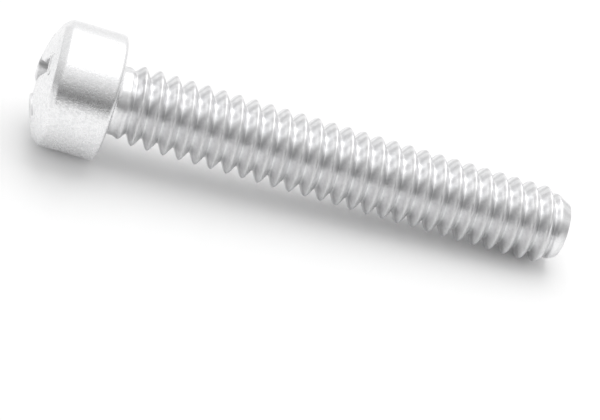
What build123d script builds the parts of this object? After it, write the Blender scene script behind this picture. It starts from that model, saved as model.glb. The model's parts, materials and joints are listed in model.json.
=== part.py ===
from build123d import *

import os
from math import asin, atan2, cos, hypot, radians, sin, tan

# Machine screw, fully threaded, with a fillister head: a straight-sided drum of steel with a bevelled
# shoulder, a domed top and a cross recess. Head and thread are formed from one blank, so the screw is
# one solid. Millimetres, +Z up. The screw lies on the floor, on the edge of its head and on the last
# full crest of its thread. +X runs from head to tip, and the origin is on the floor under its middle.
# It is made upright on the Z axis and laid down last. Upright, Z is the distance from the bearing
# face under the head, positive to the tip, and X points to what will be the screw's upper side.

# Thread: unified coarse, a quarter of an inch by 20 to the inch, right-handed. The flats on its crest
# and at its root are shares of the pitch, and its depth follows from them.
pitch = 1.27
major_diameter = 6.15
crest_share = 0.125
root_share = 0.166
flank_angle = 30

# Shank: a plain neck, a run-in where the thread fades up to full height, and a tapered point
shank_length = 36.9
blank_diameter = 5.34
neck_length = 0.65
run_in_length = 1.3
point_inset = 0.075
point_length = 1.7

# Head
head_diameter = 9.86
side_height = 4.4
shoulder_height = 0.6
shoulder_inset = 0.5
head_height = 6.05
bearing_edge_radius = 0.4
shoulder_radius = 0.4
dome_edge_radius = 0.4
neck_fillet = 0.45

# Cross recess: four wings that slope inwards and narrow with depth, between four rounded lobes
recess_diameter = 7.0
recess_depth = 3.3
pip_diameter = 1.3
pip_depth = 0.4
wing_width = 1.3
wing_floor_width = 0.85
wing_slope = 27
lobe_radius = 1.65
lobe_floor_radius = 0.45
recess_turn = 38

# A cutter stands this far outside what it cuts, and what is fused is rooted this deep
overcut = 1.0
rooting = 0.15

head_radius = head_diameter / 2
major_radius = major_diameter / 2
blank_radius = blank_diameter / 2

# The thread: a blunt V along a helix that overruns the shank at both ends, on a core at root size.
# The V goes on into the core until it has used half of the root's flat on each side. The helix passes
# under the screw at whole pitches from the bearing face.
flank_slope = tan(radians(flank_angle))
crest_half = crest_share * pitch / 2
root_half = root_share * pitch / 2
root_radius = major_radius - (pitch / 2 - crest_half - root_half) / flank_slope
base_half = (pitch - root_half) / 2
ridge_base = major_radius - (base_half - crest_half) / flank_slope
point_radius = root_radius - point_inset
overrun = 1.5 * pitch
helix_start = -overrun
helix_length = shank_length + 2 * overrun

# Its ends are trimmed by two cones: one that opens from the neck, and one that closes to the point
trim_radius = major_radius + overcut
fade_radius = blank_radius - rooting
fade_slope = run_in_length / (major_radius - fade_radius)
point_slope = point_length / (major_radius - point_radius)

with BuildPart() as shank:
    # The core runs on past both ends of the ridge
    with Locations((0, 0, helix_start - overrun)):
        Cylinder(root_radius, helix_length + 2 * overrun, align=(Align.CENTER, Align.CENTER, Align.MIN))
    with BuildLine() as helix:
        Helix(pitch=pitch, height=helix_length, radius=root_radius, center=(0, 0, helix_start))
    with BuildSketch(Plane(origin=(0, 0, helix_start), x_dir=Plane.XZ.x_dir, z_dir=Plane.XZ.z_dir)):
        with BuildLine():
            Polyline(
                (ridge_base, -base_half),
                (major_radius, -crest_half),
                (major_radius, crest_half),
                (ridge_base, base_half),
                close=True,
            )
        make_face()
    sweep(path=helix.line, is_frenet=True)
    with BuildSketch(Plane.XZ):
        with BuildLine():
            Polyline(
                (0, neck_length),
                (fade_radius, neck_length),
                (trim_radius, neck_length + fade_slope * (trim_radius - fade_radius)),
                (trim_radius, shank_length - point_slope * (trim_radius - point_radius)),
                (point_radius, shank_length),
                (0, shank_length),
                close=True,
            )
        make_face()
    revolve(axis=Axis.Z, mode=Mode.INTERSECT)

# The dome's radius follows from its rim and its rise above the shoulder
rim_radius = head_radius - shoulder_inset
rim_height = side_height + shoulder_height
dome_rise = head_height - rim_height
dome_radius = (rim_radius**2 + dome_rise**2) / (2 * dome_rise)

# Below the neck the blank narrows to root size, and ends rooted in the core
core_radius = root_radius - rooting
core_end = neck_length + run_in_length * (blank_radius - core_radius) / (blank_radius - root_radius)

# Change of the recess's outline with each millimetre of depth
wing_run = tan(radians(wing_slope))
wing_narrowing = (wing_width - wing_floor_width) / recess_depth
lobe_narrowing = (lobe_radius - lobe_floor_radius) / recess_depth

with BuildPart() as upright:
    with BuildSketch(Plane.XZ) as blank:
        with BuildLine():
            RadiusArc((0, -head_height), (rim_radius, -rim_height), -dome_radius)
            FilletPolyline(
                (rim_radius, -rim_height),
                (head_radius, -side_height),
                (head_radius, 0),
                (blank_radius, 0),
                (blank_radius, neck_length),
                (core_radius, core_end),
                (0, core_end),
                radius=[shoulder_radius, bearing_edge_radius, neck_fillet, 0, 0],
            )
            Line((0, core_end), (0, -head_height))
        make_face()
        rim = blank.vertices().sort_by_distance((rim_radius, -rim_height))[0]
        fillet(rim, dome_edge_radius)
    revolve(axis=Axis.Z)

    # The recess runs straight from an outline above the dome to one at its floor, which has a
    # conical pip in its middle
    for depth in (-overcut, recess_depth):
        reach = recess_diameter / 2 - depth * wing_run
        width = wing_width - depth * wing_narrowing
        lobe = lobe_radius - depth * lobe_narrowing
        with BuildSketch(Plane.XY.offset(depth - head_height)) as outline:
            with Locations(Rotation(0, 0, recess_turn)):
                Rectangle(2 * reach, width)
                Rectangle(width, 2 * reach)
            inner_corners = outline.vertices().sort_by_distance((0, 0))[:4]
            fillet(inner_corners, lobe)
    loft(ruled=True, mode=Mode.SUBTRACT)
    with BuildSketch(Plane.XZ):
        with BuildLine():
            floor = recess_depth - head_height
            Polyline(
                (0, floor - overcut),
                (pip_diameter / 2, floor - overcut),
                (pip_diameter / 2, floor),
                (0, floor + pip_depth),
                close=True,
            )
        make_face()
    revolve(axis=Axis.Z, mode=Mode.SUBTRACT)

    add(shank.part)

# Rest on the floor: the tip stands on the edge of the last crest that is clear of the point, and the
# head on its rounded bearing edge
tip_contact = (shank_length - point_length) // pitch * pitch + crest_half
span = tip_contact + bearing_edge_radius
drop = head_radius - bearing_edge_radius - major_radius
tilt = atan2(drop, span) + asin(bearing_edge_radius / hypot(span, drop))
axis_height = tip_contact * sin(tilt) + major_radius * cos(tilt)
bearing_x = (head_height - shank_length) / 2 * cos(tilt)
lying = Plane(
    origin=(bearing_x, 0, axis_height),
    x_dir=(sin(tilt), 0, cos(tilt)),
    z_dir=(cos(tilt), 0, -sin(tilt)),
)

with BuildPart(lying) as machine_screw:
    add(upright.part)

machine_screw.part.label = "machine_screw"
os.makedirs("parts", exist_ok=True)
export_step(machine_screw.part, "parts/machine_screw.step")
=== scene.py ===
import json
from math import atan2, cos, pi, radians, sin, sqrt, tan

import bmesh
import bpy
from mathutils import Matrix, Vector


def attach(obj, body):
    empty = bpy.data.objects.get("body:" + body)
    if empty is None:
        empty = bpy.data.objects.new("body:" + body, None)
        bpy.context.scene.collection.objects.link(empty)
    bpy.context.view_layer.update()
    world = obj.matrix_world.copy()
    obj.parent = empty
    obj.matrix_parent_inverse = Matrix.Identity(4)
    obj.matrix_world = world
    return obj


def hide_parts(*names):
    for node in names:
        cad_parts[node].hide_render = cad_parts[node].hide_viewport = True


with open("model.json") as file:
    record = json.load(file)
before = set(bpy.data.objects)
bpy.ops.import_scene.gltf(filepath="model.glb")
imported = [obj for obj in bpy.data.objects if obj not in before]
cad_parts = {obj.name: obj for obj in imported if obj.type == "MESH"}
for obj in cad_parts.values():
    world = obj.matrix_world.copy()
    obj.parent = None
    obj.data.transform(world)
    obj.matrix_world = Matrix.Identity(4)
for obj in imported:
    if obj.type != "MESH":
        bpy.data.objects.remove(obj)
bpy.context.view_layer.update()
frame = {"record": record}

# The screw's sizes are in millimetres. It is shaped upright, along Z from its bearing face, with
# the tip at +Z and the head at -Z, and its X side is uppermost when it lies down.

# Thread: blunt crests with shallow nicks, on flanks that run into rounded roots
pitch = 1.27
major_radius = 3.075
root_radius = 2.295
crest_width = 0.24
flank_angle = radians(30)
crest_rounding = 0.5
root_rounding = 0.05
nick_depth = 0.035
nicks_per_mm = 1.1
nick_onset = 0.55
nick_full = 0.8

# Shank: a plain neck, a run-in, and a tapered point into which the thread's groove runs out
shank_length = 36.9
blank_radius = 2.67
neck_length = 0.65
run_in_length = 1.3
neck_fillet = 0.45
point_radius = 2.22
point_length = 1.7
point_rounding = 0.12
point_groove = 0.22
groove_end = 0.1
groove_start = 1.3

# Tip: radii of the rings on the dished face, and how deep each lies
tip_rings = ((2.16, 0.0), (2.1, 0.01), (1.9, 0.05), (1.5, 0.11), (1.0, 0.15), (0.5, 0.17))
tip_dish = 0.175

# Head
head_radius = 4.93
side_height = 4.4
rim_radius = 4.43
rim_height = 5.0
head_height = 6.05
bearing_edge_radius = 0.4
shoulder_radius = 0.4
dome_edge_radius = 0.4
bearing_land = 0.3
dome_land = 0.6

# Recess: a cross of four tapered wings between four rounded lobes, with a conical pip
recess_diameter = 7.0
recess_depth = 3.3
recess_turn = radians(38)
wing_width = 1.3
wing_floor_width = 0.85
wing_slope = radians(27)
lobe_radius = 1.65
lobe_floor_radius = 0.45
pip_radius = 0.65
pip_depth = 0.4

# The lip that the punch raised round the recess: how far out each ring of it is, and the share of
# its height that the ring stands above the dome
lip_height = 0.06
lip_width = 0.34
lip_rings = (
    (0.26, 0.25),
    (0.19, 0.7),
    (0.13, 0.97),
    (0.08, 0.9),
    (0.04, 0.45),
    (0.01, -0.4),
)

# Rings of the head's skin, as shares of the way across each face. The recess wall meets the dome
# at a depth found by trying, and its rings start a little below that.
dome_rings = (0.2, 0.4, 0.6, 0.8)
mouth_guess = 0.3
mouth_tries = 6
wall_start = 0.05
wall_rings = (0.04, 0.1, 0.2, 0.32, 0.45, 0.6, 0.75, 0.88, 0.96, 1)
floor_rings = (0.15, 0.4, 0.7, 1)
pip_rings = (0.4, 0.8)

# The skin's columns, which suit the outline of the recess, and the thread's rows
wing_end_steps = 3
wing_side_steps = 4
lobe_steps = 18
columns = 4 * (2 * wing_end_steps + 2 * wing_side_steps + lobe_steps)
rows_per_turn = 20
arc_steps = 6
merge_distance = 0.0005

# How hollow the recess is, on the scale where the thread's roots are 1. It sets how far painted
# shade darkens the recess, and how much rougher it is.
mouth_hollow = 1.0
floor_hollow = 2.3

# Zinc: its colours, with a grey of painted shade for the hollows, and how far each covers the one
# before
bright_zinc = (0.89, 0.89, 0.895, 1)
mottled_zinc = (0.77, 0.77, 0.78, 1)
specked_zinc = (0.70, 0.70, 0.71, 1)
clouded_zinc = (0.79, 0.795, 0.805, 1)
# Painted shade: the grey that the hollows of the thread and the recess are darkened towards
hollow_shade_colour = (0.47, 0.47, 0.475, 1)
mottled_share = 0.8
specked_share = 0.5
clouded_share = 0.3
hollow_shade_share = 0.42

# What each kind of unevenness adds to the zinc's roughness, and its height
plain_roughness = 0.21
fine_roughness = 0.12
mottled_roughness = 0.06
rolled_roughness = 0.05
hollow_roughness = 0.06
fine_relief = 0.013
fine_relief_lost_to_rolling = 0.007
mottled_relief = 0.006
clouded_relief = 0.014

# Studio, in metres. The room's tones run from straight below to straight overhead.
floor_reach = 2.0
softbox_width = 0.34
softbox_length = 0.50
softbox_power = 0.72
softbox_place = (0.03, 0.12, 0.40)
softbox_tilt = radians(-14)
room_tones = [(0.0, 0.07), (0.34, 0.07), (0.48, 0.16), (0.6, 0.52), (0.72, 0.88), (0.84, 1.0)]
room_rise = 0.9
room_lean = 0.35
horizon_start = 0.02
horizon_end = 0.08
white = (1, 1, 1, 1)
plain_light = (0.76, 0.76, 0.76, 1)
camera_place = (-0.030445, -0.157945, 0.099931)
camera_turn = (radians(56.453), radians(-16.478), radians(-0.644))

# The record's bearing-face mount says where the screw lies
mm = 0.001
bearing = next(m for m in frame["record"]["mounts"] if m["name"] == "bearing_face")
along = Vector(bearing["axis"]).normalized()
side = Vector((0, -1, 0))
up = side.cross(along)
turned = Matrix((up, side, along)).transposed().to_4x4()
lying = Matrix.Translation(bearing["pos_m"]) @ turned @ Matrix.Scale(mm, 4)


class Wire:
    """A node's output, or a group's input, that can stand in an expression."""

    def __init__(self, bench, socket):
        self.bench = bench
        self.socket = socket

    def outlet(self, name):
        """Another output of the same node."""
        return Wire(self.bench, self.bench.pick(self.socket.node.outputs, name))

    def maths(self, operation, *values):
        settings = {"operation": operation}
        return self.bench.node("ShaderNodeMath", settings, dict(enumerate(values)))

    def __add__(self, other):
        return self.maths("ADD", self, other)

    def __sub__(self, other):
        return self.maths("SUBTRACT", self, other)

    def __mul__(self, other):
        return self.maths("MULTIPLY", self, other)

    def __truediv__(self, other):
        return self.maths("DIVIDE", self, other)

    def __radd__(self, other):
        return self.maths("ADD", other, self)

    def __rsub__(self, other):
        return self.maths("SUBTRACT", other, self)

    def __rmul__(self, other):
        return self.maths("MULTIPLY", other, self)

    def __rtruediv__(self, other):
        return self.maths("DIVIDE", other, self)

    def least(self, other, rounding=0):
        return self.maths("SMOOTH_MIN" if rounding else "MINIMUM", self, other, rounding)

    def most(self, other, rounding=0):
        return self.maths("SMOOTH_MAX" if rounding else "MAXIMUM", self, other, rounding)

    def fold(self, width):
        return self.maths("PINGPONG", self, width)

    def sine(self):
        return self.maths("SINE", self)

    def cosine(self):
        return self.maths("COSINE", self)

    def step(self, start, end):
        """0 before start, 1 after end, and a smooth rise between them."""
        return self.bench.node(
            "ShaderNodeMapRange",
            {"interpolation_type": "SMOOTHSTEP"},
            {"Value": self, "From Min": start, "From Max": end},
        )


class Bench:
    """A node tree under construction."""

    def __init__(self, tree):
        self.tree = tree
        tree.nodes.clear()

    def node(self, kind, settings=None, values=None, output=0):
        """A new node: its settings are made first, then its sockets get their values or links."""
        made = self.tree.nodes.new(kind)
        for name, setting in (settings or {}).items():
            if name == "stops":
                self.set_stops(made.color_ramp, setting)
            else:
                setattr(made, name, setting)
        for name, value in (values or {}).items():
            self.feed(self.pick(made.inputs, name), value)
        return Wire(self, self.pick(made.outputs, output) if made.outputs else None)

    def feed(self, socket, value):
        if isinstance(value, Wire):
            self.tree.links.new(value.socket, socket)
        else:
            socket.default_value = value

    @staticmethod
    def pick(sockets, name):
        if isinstance(name, int):
            return sockets[name]
        return next(s for s in sockets if name in (s.identifier, s.name))

    @staticmethod
    def set_stops(ramp, stops):
        while len(ramp.elements) < len(stops):
            ramp.elements.new(1)
        for element, (position, level) in zip(ramp.elements, stops):
            element.position = position
            element.color = (level, level, level, 1)

    def blend(self, share, first, second):
        """The first colour where share is 0 and the second where it is 1."""
        return self.node(
            "ShaderNodeMix",
            {"data_type": "RGBA"},
            {"Factor_Float": share, "A_Color": first, "B_Color": second},
            "Result_Color",
        )

    def attribute(self, name):
        return self.node("ShaderNodeAttribute", {"attribute_name": name}, output="Fac")

    def at(self, x, y, z):
        return self.node("ShaderNodeCombineXYZ", values={"X": x, "Y": y, "Z": z})

    def store(self, shape, name, value):
        """The shape, with a value kept on its points under a name."""
        return self.node(
            "GeometryNodeStoreNamedAttribute",
            {"data_type": "FLOAT", "domain": "POINT"},
            {"Geometry": shape, "Name": name, "Value": value},
        )


def zinc_finish():
    """Bright zinc over cold-formed steel: satin, finely grained, faintly clouded, duller in
    the hollows, which are rougher and darkened by painted shade, and less grainy where the thread
    was rolled."""
    material = bpy.data.materials.new("zinc_plate_finish")
    material.use_nodes = True
    bench = Bench(material.node_tree)
    place = bench.node("ShaderNodeTexCoord", output="Object")

    def grain(width, detail, roughness=0.5):
        return bench.node(
            "ShaderNodeTexNoise",
            values={
                "Vector": place,
                "Scale": 1 / (width * mm),
                "Detail": detail,
                "Roughness": roughness,
            },
        )

    fine = grain(width=0.17, detail=2, roughness=0.7)
    mottle = grain(width=0.3, detail=3, roughness=0.65)
    cloud = grain(width=2.4, detail=2)
    hollow = bench.attribute("hollow")
    rolled = bench.attribute("rolled")

    spots = mottle.step(0.44, 0.7)
    specks = fine.step(0.5, 0.72)
    veil = cloud.step(0.35, 0.7)
    colour = bench.blend(spots * mottled_share, bright_zinc, mottled_zinc)
    colour = bench.blend(specks * specked_share, colour, specked_zinc)
    colour = bench.blend(veil * clouded_share, colour, clouded_zinc)
    # Painted shade: the thread's valleys and the recess are darkened in colour, standing in for the
    # shade that falls in them
    colour = bench.blend((hollow * hollow_shade_share).least(1), colour, hollow_shade_colour)

    roughness = plain_roughness + fine * fine_roughness + spots * mottled_roughness
    roughness = roughness + rolled * rolled_roughness + hollow.least(1) * hollow_roughness

    relief = fine * (fine_relief - fine_relief_lost_to_rolling * rolled)
    relief = relief + mottle * mottled_relief + cloud * clouded_relief
    dents = bench.node(
        "ShaderNodeBump",
        values={"Height": relief, "Strength": 1.0, "Distance": mm},
    )
    surface = bench.node(
        "ShaderNodeBsdfPrincipled",
        values={"Base Color": colour, "Metallic": 1.0, "Roughness": roughness, "Normal": dents},
    )
    bench.node("ShaderNodeOutputMaterial", values={"Surface": surface})
    return material


# What the shank's tree is given. Its turns overrun both ends of the shank, and are cut off there.
shank_sizes = {
    "Pitch": pitch,
    "Major Radius": major_radius,
    "Root Radius": root_radius,
    "Crest Width": crest_width,
    "Flank Slope": tan(flank_angle),
    "Crest Rounding": crest_rounding,
    "Root Rounding": root_rounding,
    "Nick Depth": nick_depth,
    "Nicks per mm": nicks_per_mm,
    "Nick Onset": nick_onset,
    "Nick Full": nick_full,
    "Blank Radius": blank_radius,
    "Start": neck_fillet,
    "Run-in Start": neck_length,
    "Run-in End": neck_length + run_in_length,
    "End": shank_length,
    "Point Radius": point_radius,
    "Point Length": point_length,
    "Point Rounding": point_rounding,
    "Point Groove": point_groove,
    "Groove End": groove_end,
    "Groove Start": groove_start,
    "Turns": shank_length // pitch + 2,
}
shank_seed = 7


def thread_height(size, station, turn):
    """The thread's height over its root, from 0 in the valleys to 1 on the crests."""
    major, root = size["Major Radius"], size["Root Radius"]
    from_crest = (station / size["Pitch"] - turn - 0.5).fold(0.5) * size["Pitch"]
    drop = (from_crest - size["Crest Width"] / 2) / size["Flank Slope"]
    radius = major.least(major - drop, size["Crest Rounding"])
    radius = radius.most(root, size["Root Rounding"])
    return (radius - root) / (major - root)


def shank_radius(size, station, height, grown):
    """The thread on the blank, where it fades in, and under the cone of the point."""
    major, blank = size["Major Radius"], size["Blank Radius"]
    root = blank + (size["Root Radius"] - blank) * grown
    crest = blank + (major - blank) * grown
    from_end = size["End"] - station
    cone = size["Point Radius"] + from_end * ((major - size["Point Radius"]) / size["Point Length"])
    depth = size["Point Groove"] * (1 - height)
    groove = depth * from_end.step(size["Groove End"], size["Groove Start"])
    return (root + (crest - root) * height).least(cone - groove, size["Point Rounding"])


def threaded_shank_tree(finish):
    """The shank from the neck to the end of the point, on a grid whose rows follow the thread."""
    tree = bpy.data.node_groups.new("threaded_shank", "GeometryNodeTree")
    bench = Bench(tree)
    tree.interface.new_socket("Geometry", in_out="OUTPUT", socket_type="NodeSocketGeometry")
    for name in shank_sizes:
        tree.interface.new_socket(name, in_out="INPUT", socket_type="NodeSocketFloat")
    tree.interface.new_socket("Seed", in_out="INPUT", socket_type="NodeSocketInt")
    entry = bench.node("NodeGroupInput")
    size = {name: entry.outlet(name) for name in (*shank_sizes, "Seed")}

    sheet = bench.node(
        "GeometryNodeMeshGrid",
        values={
            "Size X": 1.0,
            "Size Y": size["Turns"],
            "Vertices X": columns + 1,
            "Vertices Y": size["Turns"] * rows_per_turn + 1,
        },
        output="Mesh",
    )
    spot = bench.node("GeometryNodeInputPosition")
    turn = bench.node("ShaderNodeSeparateXYZ", values={"Vector": spot})
    rise = turn.outlet("Y") + size["Turns"] / 2
    # Rows gather at the crests and roots, where the profile bends
    gathered = rise - (rise * (4 * pi)).sine() * (0.5 / (4 * pi))
    station = ((gathered + turn - 0.5) * size["Pitch"]).most(size["Start"]).least(size["End"])
    angle = turn * (2 * pi)

    height = thread_height(size, station, turn)
    grown = station.step(size["Run-in Start"], size["Run-in End"])
    radius = shank_radius(size, station, height, grown)
    nicks = bench.node(
        "ShaderNodeTexNoise",
        {"noise_dimensions": "4D"},
        {
            "Vector": bench.at(angle.cosine() * radius, angle.sine() * radius, station),
            "W": size["Seed"],
            "Scale": size["Nicks per mm"],
            "Detail": 3.0,
        },
    ).step(size["Nick Onset"], size["Nick Full"])
    worn = radius - nicks * size["Nick Depth"] * height * grown

    skin = bench.at(angle.cosine() * worn, angle.sine() * worn, station)
    shape = bench.node("GeometryNodeSetPosition", values={"Geometry": sheet, "Position": skin})
    # How far down in the thread's valleys each point lies, which sets the painted shade and the
    # extra roughness there
    shape = bench.store(shape, "hollow", (1 - height) * grown)
    shape = bench.store(shape, "rolled", grown)
    shape = bench.node(
        "GeometryNodeMergeByDistance", values={"Geometry": shape, "Distance": merge_distance}
    )
    shape = bench.node("GeometryNodeRealizeInstances", values={"Geometry": shape})
    shape = bench.node("GeometryNodeSetMaterial", values={"Geometry": shape, "Material": finish})
    bench.node("NodeGroupOutput", values={"Geometry": shape})
    return tree


def threaded_shank(finish):
    """The plain mesh that the tree makes: a tube, open at the neck and at the tip."""
    holder = bpy.data.objects.new("shank_holder", bpy.data.meshes.new("shank_holder"))
    bpy.context.scene.collection.objects.link(holder)
    modifier = holder.modifiers.new("threaded_shank", "NODES")
    modifier.node_group = threaded_shank_tree(finish)
    settings = dict(shank_sizes, Seed=shank_seed)
    for socket in modifier.node_group.interface.items_tree:
        if socket.in_out == "INPUT":
            modifier[socket.identifier] = settings[socket.name]
    holder.update_tag()
    graph = bpy.context.evaluated_depsgraph_get()
    mesh = bpy.data.meshes.new_from_object(holder.evaluated_get(graph), depsgraph=graph)
    holder.modifiers.remove(modifier)
    bpy.data.objects.remove(holder)
    return mesh


def rounded_outline(corners):
    """Points of (radius, station) along straight runs, with an arc at each corner between them.
    A corner is its radius, its station and its rounding."""
    points = [corners[0][:2]]
    for before, corner, after in zip(corners, corners[1:], corners[2:]):
        here = Vector(corner[:2])
        back = (Vector(before[:2]) - here).normalized()
        on = (Vector(after[:2]) - here).normalized()
        half = back.angle(on) / 2
        reach = corner[2] / tan(half)
        centre = here + (back + on).normalized() * corner[2] / sin(half)
        start = here + back * reach - centre
        sweep = start.angle_signed(here + on * reach - centre)
        for i in range(arc_steps + 1):
            bent = Matrix.Rotation(-sweep * i / arc_steps, 2) @ start
            points.append(tuple(centre + bent))
    points.append(corners[-1][:2])
    return points


def recess_outline(tip_diameter, width, lobe):
    """One point for each column round a cross with square wings and rounded lobes, from the
    middle of a wing's end."""
    tip = tip_diameter / 2
    half = width / 2
    bend = half + lobe
    ends = [half * i / wing_end_steps for i in range(wing_end_steps)]
    sides = [(tip - bend) * i / wing_side_steps for i in range(wing_side_steps)]
    bends = [pi / 2 * i / lobe_steps for i in range(lobe_steps + 1)]
    quarter = [(tip, across) for across in ends]
    quarter += [(tip - inwards, half) for inwards in sides]
    quarter += [(bend - lobe * sin(a), bend - lobe * cos(a)) for a in bends]
    quarter += [(half, bend + outwards) for outwards in sides[1:]]
    quarter += [(half - across, tip) for across in ends]
    points = []
    for turn in range(4):
        spin = Matrix.Rotation(recess_turn + turn * pi / 2, 2)
        points += [spin @ Vector(p) for p in quarter]
    return points


def recess_point(column, depth, outset=0):
    """A point on the recess wall at a depth below the head's top, moved out by outset."""
    share = depth / recess_depth
    outline = recess_outline(
        recess_diameter - 2 * depth * tan(wing_slope) + 2 * outset,
        wing_width + (wing_floor_width - wing_width) * share + 2 * outset,
        lobe_radius + (lobe_floor_radius - lobe_radius) * share - outset,
    )
    return outline[column]


def dome_depth(radius):
    """How far the domed face is below the head's top at this radius. It lies a lip's height low,
    so that the lip comes up no further than a plain dome would."""
    rise = head_height - rim_height
    ball = (rim_radius**2 + rise**2) / (2 * rise)
    return lip_height + ball - sqrt(ball**2 - radius**2)


class Shell:
    """The screw's skin, grown ring by ring from the open ends of the threaded shank."""

    def __init__(self, mesh):
        self.skin = bmesh.new()
        self.skin.from_mesh(mesh)
        self.hollow = self.skin.verts.layers.float["hollow"]

    def open_end(self, station):
        """The open ring of points nearest this station, in order round the axis."""
        edge_points = {v for e in self.skin.edges if e.is_boundary for v in e.verts}
        ring = [v for v in edge_points if abs(v.co.z - station) < pitch]
        return sorted(ring, key=lambda v: atan2(v.co.y, v.co.x))

    def grow(self, ring, points, hollow=0.0):
        following = [self.skin.verts.new(p) for p in points]
        for vertex in following:
            vertex[self.hollow] = hollow
        for i, vertex in enumerate(ring):
            j = (i + 1) % len(ring)
            self.skin.faces.new((vertex, ring[j], following[j], following[i]))
        return following

    def close(self, ring, middle, hollow=0.0):
        centre = self.skin.verts.new(middle)
        centre[self.hollow] = hollow
        for i, vertex in enumerate(ring):
            self.skin.faces.new((vertex, ring[(i + 1) % len(ring)], centre))


def round_ring(angles, radius, station):
    return [(radius * cos(a), radius * sin(a), station) for a in angles]


def add_tip(shell):
    """The sheared end of the wire: a rounded edge, then a slightly dished face."""
    ring = shell.open_end(shank_length)
    angles = [atan2(v.co.y, v.co.x) for v in ring]
    for radius, dish in tip_rings:
        ring = shell.grow(ring, round_ring(angles, radius, shank_length - dish))
    shell.close(ring, (0, 0, shank_length - tip_dish))


def add_head(shell):
    """The neck fillet, the bearing face, the straight side, the shoulder and the domed rim."""
    ring = shell.open_end(neck_fillet)
    angles = [atan2(v.co.y, v.co.x) for v in ring]
    for i in range(arc_steps):
        bend = pi / 2 * (i + 1) / arc_steps
        radius = blank_radius + neck_fillet * (1 - cos(bend))
        ring = shell.grow(ring, round_ring(angles, radius, neck_fillet * (1 - sin(bend))))
    dome_edge = rim_radius - dome_land
    outline = rounded_outline(
        [
            (blank_radius + neck_fillet + bearing_land, 0, 0),
            (head_radius, 0, bearing_edge_radius),
            (head_radius, -side_height, shoulder_radius),
            (rim_radius, lip_height - rim_height, dome_edge_radius),
            (dome_edge, dome_depth(dome_edge) - head_height, 0),
        ]
    )
    for radius, station in outline:
        ring = shell.grow(ring, round_ring(angles, radius, station))
    return ring, angles


def mouth_depth(column):
    """How far below the head's top this column of the recess wall meets the domed face."""
    depth = mouth_guess
    for _ in range(mouth_tries):
        depth = dome_depth(recess_point(column, depth).length)
    return depth


def on_dome(flat, raised=0):
    return (*flat, dome_depth(flat.length) - head_height - raised)


def add_recess(shell, ring, angles):
    """The domed face round the recess, its raised lip, the tapered walls, the floor and the pip."""
    first = min(range(columns), key=lambda i: abs(angles[i] - recess_turn))
    order = [(i - first) % columns for i in range(columns)]
    tops = [mouth_depth(column) for column in order]

    def lip(outset, raised):
        flats = [recess_point(column, top, outset) for column, top in zip(order, tops)]
        return [on_dome(flat, raised) for flat in flats]

    outer = [Vector(v.co) for v in ring]
    inner = [Vector(p) for p in lip(lip_width, 0)]
    for share in dome_rings:
        flats = [start.lerp(end, share).xy for start, end in zip(outer, inner)]
        ring = shell.grow(ring, [on_dome(flat) for flat in flats])
    ring = shell.grow(ring, inner)
    for outset, share in lip_rings:
        ring = shell.grow(ring, lip(outset, share * lip_height))

    for share in wall_rings:
        points = []
        for column, top in zip(order, tops):
            start = top + wall_start
            depth = start + (recess_depth - start) * share
            points.append((*recess_point(column, depth), depth - head_height))
        # Painted shade deepens from the recess's mouth to its floor
        hollow = mouth_hollow + (floor_hollow - mouth_hollow) * share
        ring = shell.grow(ring, points, hollow)

    floor_station = recess_depth - head_height
    spins = [recess_turn + 2 * pi * column / columns for column in order]
    foot = [Vector(v.co) for v in ring]
    rim = [Vector(p) for p in round_ring(spins, pip_radius, floor_station)]
    for share in floor_rings:
        points = [start.lerp(end, share) for start, end in zip(foot, rim)]
        ring = shell.grow(ring, points, floor_hollow)
    middle = Vector((0, 0, floor_station + pip_depth))
    for share in pip_rings:
        points = [start.lerp(middle, share) for start in rim]
        ring = shell.grow(ring, points, floor_hollow)
    shell.close(ring, middle, floor_hollow)


def machine_screw(finish):
    shell = Shell(threaded_shank(finish))
    add_tip(shell)
    ring, angles = add_head(shell)
    add_recess(shell, ring, angles)
    bmesh.ops.recalc_face_normals(shell.skin, faces=shell.skin.faces)
    mesh = bpy.data.meshes.new("screw_skin")
    shell.skin.to_mesh(mesh)
    shell.skin.free()
    mesh.transform(lying)
    mesh.materials.clear()
    mesh.materials.append(finish)
    mesh.shade_smooth()
    screw = bpy.data.objects.new("screw_skin", mesh)
    bpy.context.scene.collection.objects.link(screw)
    return screw


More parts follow.
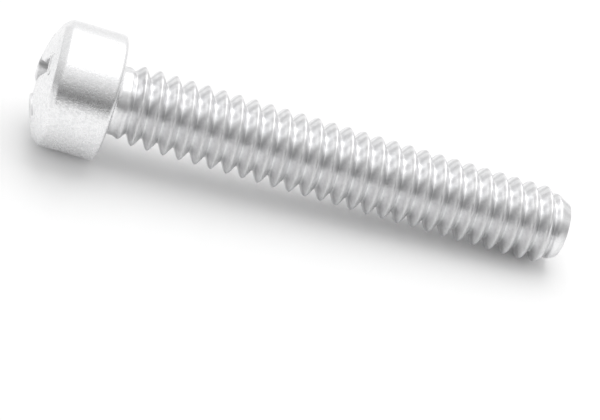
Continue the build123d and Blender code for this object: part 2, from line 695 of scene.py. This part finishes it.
def paper_floor():
    reach = floor_reach
    corners = [(-reach, -reach, 0), (reach, -reach, 0), (reach, reach, 0), (-reach, reach, 0)]
    mesh = bpy.data.meshes.new("floor")
    mesh.from_pydata(corners, [], [(0, 1, 2, 3)])
    floor = bpy.data.objects.new("floor", mesh)
    bpy.context.scene.collection.objects.link(floor)
    paper = bpy.data.materials.new("floor_paper")
    paper.use_nodes = True
    bench = Bench(paper.node_tree)
    surface = bench.node(
        "ShaderNodeBsdfPrincipled",
        values={"Base Color": white, "Roughness": 1.0, "Specular IOR Level": 0.0},
    )
    bench.node("ShaderNodeOutputMaterial", values={"Surface": surface})
    mesh.materials.append(paper)


def overhead_softbox():
    lamp = bpy.data.lights.new("overhead_softbox", "AREA")
    lamp.shape = "RECTANGLE"
    lamp.size = softbox_width
    lamp.size_y = softbox_length
    lamp.energy = softbox_power
    softbox = bpy.data.objects.new("overhead_softbox", lamp)
    softbox.location = softbox_place
    softbox.rotation_euler = (softbox_tilt, 0, 0)
    bpy.context.scene.collection.objects.link(softbox)


def room():
    """What the metal mirrors: white at the level of the floor, dark just above it, and brighter
    overhead and towards the back. It lights everything else evenly."""
    world = bpy.data.worlds.new("room")
    bpy.context.scene.world = world
    world.use_nodes = True
    bench = Bench(world.node_tree)
    direction = bench.node("ShaderNodeTexCoord", output="Generated")
    height = bench.node("ShaderNodeSeparateXYZ", values={"Vector": direction}, output="Z")
    overhead = height * room_rise + height.outlet("Y") * room_lean
    tone = bench.node(
        "ShaderNodeValToRGB", {"stops": room_tones}, {"Fac": (overhead + 1) / 2}
    )
    mirrored = bench.blend(height.step(horizon_start, horizon_end), white, tone)
    ray = bench.node("ShaderNodeLightPath", output="Is Camera Ray")
    seen = (ray + ray.outlet("Is Glossy Ray") + ray.outlet("Is Transmission Ray")).least(1)
    colour = bench.blend(seen, plain_light, mirrored)
    light = bench.node("ShaderNodeBackground", values={"Color": colour, "Strength": 1.0})
    bench.node("ShaderNodeOutputWorld", values={"Surface": light})


def camera():
    view = bpy.data.cameras.new("camera")
    view.lens = 145.9
    view.sensor_width = 36
    view.clip_start = 0.01
    view.shift_x = 0.002
    view.shift_y = -0.0037
    seat = bpy.data.objects.new("camera", view)
    seat.location = camera_place
    seat.rotation_euler = camera_turn
    bpy.context.scene.collection.objects.link(seat)
    bpy.context.scene.camera = seat


camera()
paper_floor()
overhead_softbox()
room()
bpy.context.scene.view_settings.view_transform = "Standard"

screw = machine_screw(zinc_finish())
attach(screw, "root")
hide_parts("machine_screw")
